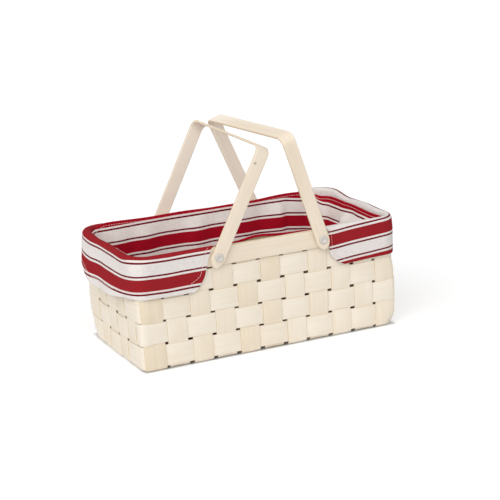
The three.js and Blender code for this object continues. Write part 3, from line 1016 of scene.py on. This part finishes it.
def stitch_row(bm, spots, length, width):
    """Small raised stitches, each from one spot towards the next. Spots are (place, outward) pairs."""
    for (place, out), (ahead, _) in zip(spots, spots[1:]):
        run = (ahead - place).normalized()
        side = out.cross(run).normalized()
        stitch = bmesh.ops.create_icosphere(bm, subdivisions=1, radius=0.5)["verts"]
        bmesh.ops.scale(bm, vec=(length, width, width * 0.8), verts=stitch)
        turn = Matrix((run, side, run.cross(side))).transposed().to_4x4()
        bmesh.ops.transform(bm, matrix=Matrix.Translation(place) @ turn, verts=stitch)


def stitch_spot(along, place, side):
    """A stitch's place on the cloth's face, which looks out of the basket (1) or into it (-1)."""
    out = (wall_point(along, place.z, side) - wall_point(along, place.z, 0)).normalized()
    return place + out * (cloth_thickness / 2 + stitch_proud), out


thread, tree, shader = new_material("cotton_thread")
place = add_node(tree, "ShaderNodeTexCoord", {}).outputs["Object"]
twist = noise_node(tree, place, 2500, 2, dimensions="3D")
twisted = mix_colour(tree, twist, paint(250, 222, 216), paint(232, 188, 182))
set_inputs(tree, shader, {"Base Color": twisted, "Roughness": 0.8})

stitch_step, stitch_proud = 3.4 * mm, 0.1 * mm
hem_stitch_depth, hem_stitch_length, hem_stitch_width = 2.8 * mm, 3.1 * mm, 0.7 * mm
bm = bmesh.new()
count = round(full_turn / stitch_step)
around = [k * full_turn / count for k in range(count + 1)]
spots = [stitch_spot(along, bag_point(along, hem_stitch_depth), -1) for along in around]
stitch_row(bm, spots, hem_stitch_length, hem_stitch_width)
bag_stitches = make_piece("hem_topstitch", bm, [thread], "basket", "striped_cloth")


# Liner cuffs: a strip of the same cotton sewn to each end of the bag, rolled over the rim and hanging down
# outside it. Its free edges slant away from the handle's leg, with a round corner and a topstitched hem.

roll_middle = -0.2 * mm  # the roll's middle, off the walls' mid-surface
roll_radius = 4.5 * mm
roll_centre = 133.6 * mm  # and its height
flange_bottom = 125.3 * mm  # height of the seam inside
cuff_edge, roll_edge_shift = 75.5 * mm, 5.5 * mm  # the free edges' place, and how far it shifts on the roll
cuff_round = 20 * mm  # height of the round corner
cuff_stitch_length = 3.6 * mm
corner_level, back_corner_drop = 122 * mm, 34 * mm  # the height that gives the skirt its corners' roundness
roll_ripple, hem_ripple, skirt_ripple = 0.14, 0.6 * mm, 0.7 * mm  # the first as a share of the roll's radius
cuff_cotton = cotton(
    "cuff_cotton",
    red=(161, 38, 45),
    dark_line=(122, 32, 42),
    white=(242, 236, 232),
    worn=(170, 160, 158),
    worn_share=0.3,
)


def end_share(along, reach):
    """0 on the long walls, and 1 on the end walls from a reach inside the corners on."""
    return ramp(half_width - abs(seen_from_above(along)[1]), 3 * mm, reach)


def sew_cuff(
    side, hem, red_top, red_drop, flare, corner_lift, slant, rounding, edge_inset, hem_inset, stitch_width,
    tilt=0, hem_drop=0, hem_rise=0, corner_bulge=0,
):
    """One end's cuff. hem is its height and red_top a red stripe's upper edge, both next to the handle.
    They climb by tilt towards the end, where they sag by the drops and the hem stands off by flare.
    At the back corner the hem climbs by hem_rise, the roll by corner_lift, and the cloth stands off by
    corner_bulge. The insets are the stitches' distances from the free edges and the hem."""
    near, far = (front, back) if side == "right" else (back, lambda x: full_turn + front(x))
    sign, wave_start = (1, 2.6) if side == "right" else (-1, 1.0)
    full_drop = roll_centre - hem

    def section(along, share):
        """Out, height and stripe place. share is -1 at the seam inside, 0 to 1 on the roll, 2 at the hem."""
        ends, middle = end_share(along, 34 * mm), end_share(along, 62 * mm)
        x, y = seen_from_above(along)
        lift = corner_lift * ramp(abs(x), 105 * mm, 150 * mm) * ramp(y, 25 * mm, 82 * mm)
        climb = tilt * ramp(abs(x), 80 * mm, 166 * mm)
        centre = roll_centre + lift
        uneven = 0.35 * mm * wave(along, 11) + 0.25 * mm * wave(along, 18, wave_start)
        arc = math.pi * roll_radius
        shoulder = red_top + climb + lift + uneven - red_drop * ends - centre
        if side == "right":
            line_on_top = arc / 2 - line_gap - line_width / 2
            shoulder += (line_on_top + uneven - shoulder) * ramp(y, -20 * mm, 45 * mm)
        if share < 0:
            depth = -share * (centre - flange_bottom)
            return roll_middle - roll_radius, centre - depth, shoulder - arc - depth
        if share < 1:
            turn = math.pi * (1 - share)
            rise = roll_radius * (1 + ends * roll_ripple * wave(along, 12, wave_start))
            out = roll_middle + roll_radius * math.cos(turn)
            return out, centre + rise * math.sin(turn), shoulder - arc * (1 - share)
        down = share - 1
        drop = centre - hem - 0.7 * climb + hem_drop * middle + hem_ripple * wave(along, 7)
        drop -= hem_rise * ramp(y, 20 * mm, 80 * mm) * ramp(abs(x), 110 * mm, 160 * mm)
        out = roll_middle + roll_radius - 0.2 * mm * down
        out += middle * flare * down**1.5 + ends * skirt_ripple * down * wave(along, 12)
        return out, centre - drop * down, shoulder + drop * down

    def point(along, share):
        out, height, _ = section(along, share)
        x, y = seen_from_above(along)
        back_corner = ramp(y, 0, 40 * mm) if side == "left" else 0
        out += corner_bulge * back_corner * ramp(abs(x), 155 * mm, 166 * mm) * max(share, 0)
        corner_height = corner_level - back_corner_drop * back_corner
        return wall_point(along, height, out, max(height, corner_height))

    def edge_place(share):
        """How far from the basket's middle the free edges are."""
        down = max(share - 1, 0) * full_drop
        bend = max(1 - (full_drop - down) / cuff_round, 0)
        place = cuff_edge + slant * down + rounding * bend**2
        return place - roll_edge_shift * ramp(1 - share, 0, 0.5)

    skirt = [1 + 0.55 * k / 14 for k in range(15)]
    skirt += [1.55 + 0.45 * math.sin(math.pi / 2 * k / 12) for k in range(1, 13)]
    shares = [-1, -0.5, *[k / 14 for k in range(14)], *skirt]
    columns = 170

    def spot(column, row):
        place = sign * edge_place(shares[row])
        start, end = near(place), far(place)
        return start + (end - start) * column / columns, shares[row]

    def stripe_spot(along, share):
        return along, section(along, share)[2] + stripe_repeat

    bm = lay_grid(columns, len(shares) - 1, spot, stripe_spot, point)
    bm.normal_update()
    low = min(bm.faces, key=lambda face: face.calc_center_median().z)
    if low.normal.xy.dot(low.calc_center_median().xy) < 0:
        bmesh.ops.reverse_faces(bm, faces=bm.faces)
    cottons = [cuff_cotton, cotton_reverse_painted_shade]
    cuff = make_piece(f"rolled_cuff_{side}", bm, cottons, "basket", "striped_cloth", f"liner_cuff_{side}")
    thicken(cuff, cloth_thickness, cloth_ease).material_offset = 1

    outline = []
    step = 0.001
    for share in np.linspace(0.3, 2 - step, 120):
        run = Vector((edge_place(share + step) - edge_place(share), step * full_drop)).normalized()
        inset = edge_inset + (hem_inset - edge_inset) * ramp(share, 1.6, 2)
        outline.append((edge_place(share) + inset * run.y, share - inset * run.x / full_drop))
    path = [(near(sign * x), share) for x, share in outline]
    first, last = path[-1][0], far(sign * outline[-1][0])
    path += [(first + (last - first) * k / 200, outline[-1][1]) for k in range(1, 200)]
    path += [(far(sign * x), share) for x, share in reversed(outline)]
    points = [point(along, share) for along, share in path]
    runs = np.concatenate([[0], np.cumsum([(b - a).length for a, b in zip(points, points[1:])])])
    count = round(runs[-1] / stitch_step)
    spots = []
    for at in np.linspace(0, runs[-1], count + 1):
        along = np.interp(at, runs, [p[0] for p in path])
        share = np.interp(at, runs, [p[1] for p in path])
        spots.append(stitch_spot(along, point(along, share), 1))
    bm = bmesh.new()
    stitch_row(bm, spots, cuff_stitch_length, stitch_width)
    stitches = make_piece(f"cuff_topstitch_{side}", bm, [thread], "basket", "striped_cloth")


sew_cuff(
    "left",
    hem=88.3 * mm,
    red_top=149.3 * mm,
    red_drop=1.5 * mm,
    flare=8.5 * mm,
    corner_lift=2 * mm,
    slant=0.31,
    rounding=8 * mm,
    edge_inset=5.5 * mm,
    hem_inset=11 * mm,
    stitch_width=0.65 * mm,
    hem_drop=4 * mm,
    hem_rise=10.5 * mm,
    corner_bulge=1.8 * mm,
)
sew_cuff(
    "right",
    hem=88 * mm,
    red_top=128.8 * mm,
    red_drop=-2.2 * mm,
    flare=1.5 * mm,
    corner_lift=4 * mm,
    slant=0.06,
    rounding=18 * mm,
    edge_inset=3.5 * mm,
    hem_inset=6 * mm,
    stitch_width=0.4 * mm,
    tilt=5 * mm,
)


# Studio: a plain pale floor, soft white light all round and three large soft lamps.
# The camera stands where the photograph was taken from.

floor_glow, sky_light = 0.4, 0.42
floor_size = 14


def seen_directly(tree):
    """1 where the camera or a shiny surface sees a thing, and 0 where it only lights others."""
    ray = add_node(tree, "ShaderNodeLightPath", {})
    return math_node(tree, "MAXIMUM", ray.outputs["Is Camera Ray"], ray.outputs["Is Glossy Ray"])


# The floor glows so that it looks white, and keeps its shadow. The glow is left out under the basket and
# fades in across a band a few millimetres wide along its foot, which paints a darker contact line there.
floor_material, tree, shader = new_material("pale_floor")
set_inputs(tree, shader, {"Base Color": (0.72, 0.72, 0.72, 1), "Roughness": 0.9})
place = add_node(tree, "ShaderNodeTexCoord", {}).outputs["Object"]
axes = add_node(tree, "ShaderNodeSeparateXYZ", {0: place})
off_middle = [math_node(tree, "ABSOLUTE", axes.outputs[k]) for k in (0, 1)]
beyond_end = math_node(tree, "SUBTRACT", off_middle[0], half_length - 4 * mm)
beyond_wall = math_node(tree, "SUBTRACT", off_middle[1], half_width)
beyond = math_node(tree, "MAXIMUM", beyond_end, beyond_wall)
# Painted shade: no glow from a millimetre inside the foot, full glow from 6 mm outside it, so the floor
# along the foot is painted darker.
past_painted_contact_shade = ramp_node(tree, beyond, -1 * mm, 6 * mm, 0, 1, "SMOOTHSTEP")
glow_share = math_node(tree, "MULTIPLY", seen_directly(tree), past_painted_contact_shade)
glow_strength = math_node(tree, "MULTIPLY", glow_share, floor_glow)
glow = add_node(tree, "ShaderNodeEmission", {"Color": (1, 1, 1, 1), "Strength": glow_strength})
both = add_node(tree, "ShaderNodeAddShader", {0: shader.outputs[0], 1: glow.outputs[0]})
set_inputs(tree, tree.nodes["Material Output"], {"Surface": both.outputs[0]})
bm = bmesh.new()
bmesh.ops.create_grid(bm, x_segments=2, y_segments=2, size=floor_size)
floor = new_object("floor", bm, [floor_material])

world = bpy.data.worlds.new("soft_studio")
bpy.context.scene.world = world
world.use_nodes = True
tree = world.node_tree
strength = math_node(tree, "MULTIPLY_ADD", seen_directly(tree), 1 - sky_light, sky_light)
set_inputs(tree, tree.nodes["Background"], {"Color": (1, 1, 1, 1), "Strength": strength})


def direction(azimuth, elevation):
    """The way from the basket towards a lamp or camera, in degrees as the views count them."""
    azimuth, elevation = math.radians(azimuth), math.radians(elevation)
    level = math.cos(elevation)
    return Vector((math.sin(azimuth) * level, -math.cos(azimuth) * level, math.sin(elevation)))


lamps = [("key_lamp", -52, 34, 1.87), ("fill_lamp", 25, 36, 0.42), ("back_lamp", 150, 30, 0.3)]
for name, azimuth, elevation, power in lamps:
    lamp = bpy.data.lights.new(name, "SUN")
    lamp.energy = power
    lamp.angle = math.radians(70)
    holder = bpy.data.objects.new(name, lamp)
    holder.rotation_euler = direction(azimuth, elevation).to_track_quat("Z", "Y").to_euler()
    bpy.context.collection.objects.link(holder)

view_azimuth, view_elevation, view_roll = -23.85, 14.793, math.radians(-3.439)
view_distance = 2060 * mm
view_target = Vector((15.1 * mm, 0, 99.5 * mm))
focal_pixels, frame_pixels = 1664.1, 500
camera_data = bpy.data.cameras.new("camera")
camera_data.sensor_width = 36
camera_data.lens = focal_pixels / frame_pixels * camera_data.sensor_width
camera = bpy.data.objects.new("camera", camera_data)
backward = direction(view_azimuth, view_elevation)
level = Vector((0, 0, 1)).cross(backward).normalized()
right = level * math.cos(view_roll) + backward.cross(level) * math.sin(view_roll)
turned_view = Matrix((right, backward.cross(right), backward)).transposed().to_4x4()
camera.matrix_world = Matrix.Translation(view_target + backward * view_distance) @ turned_view
bpy.context.collection.objects.link(camera)
bpy.context.scene.camera = camera
bpy.context.scene.view_settings.view_transform = "Standard"
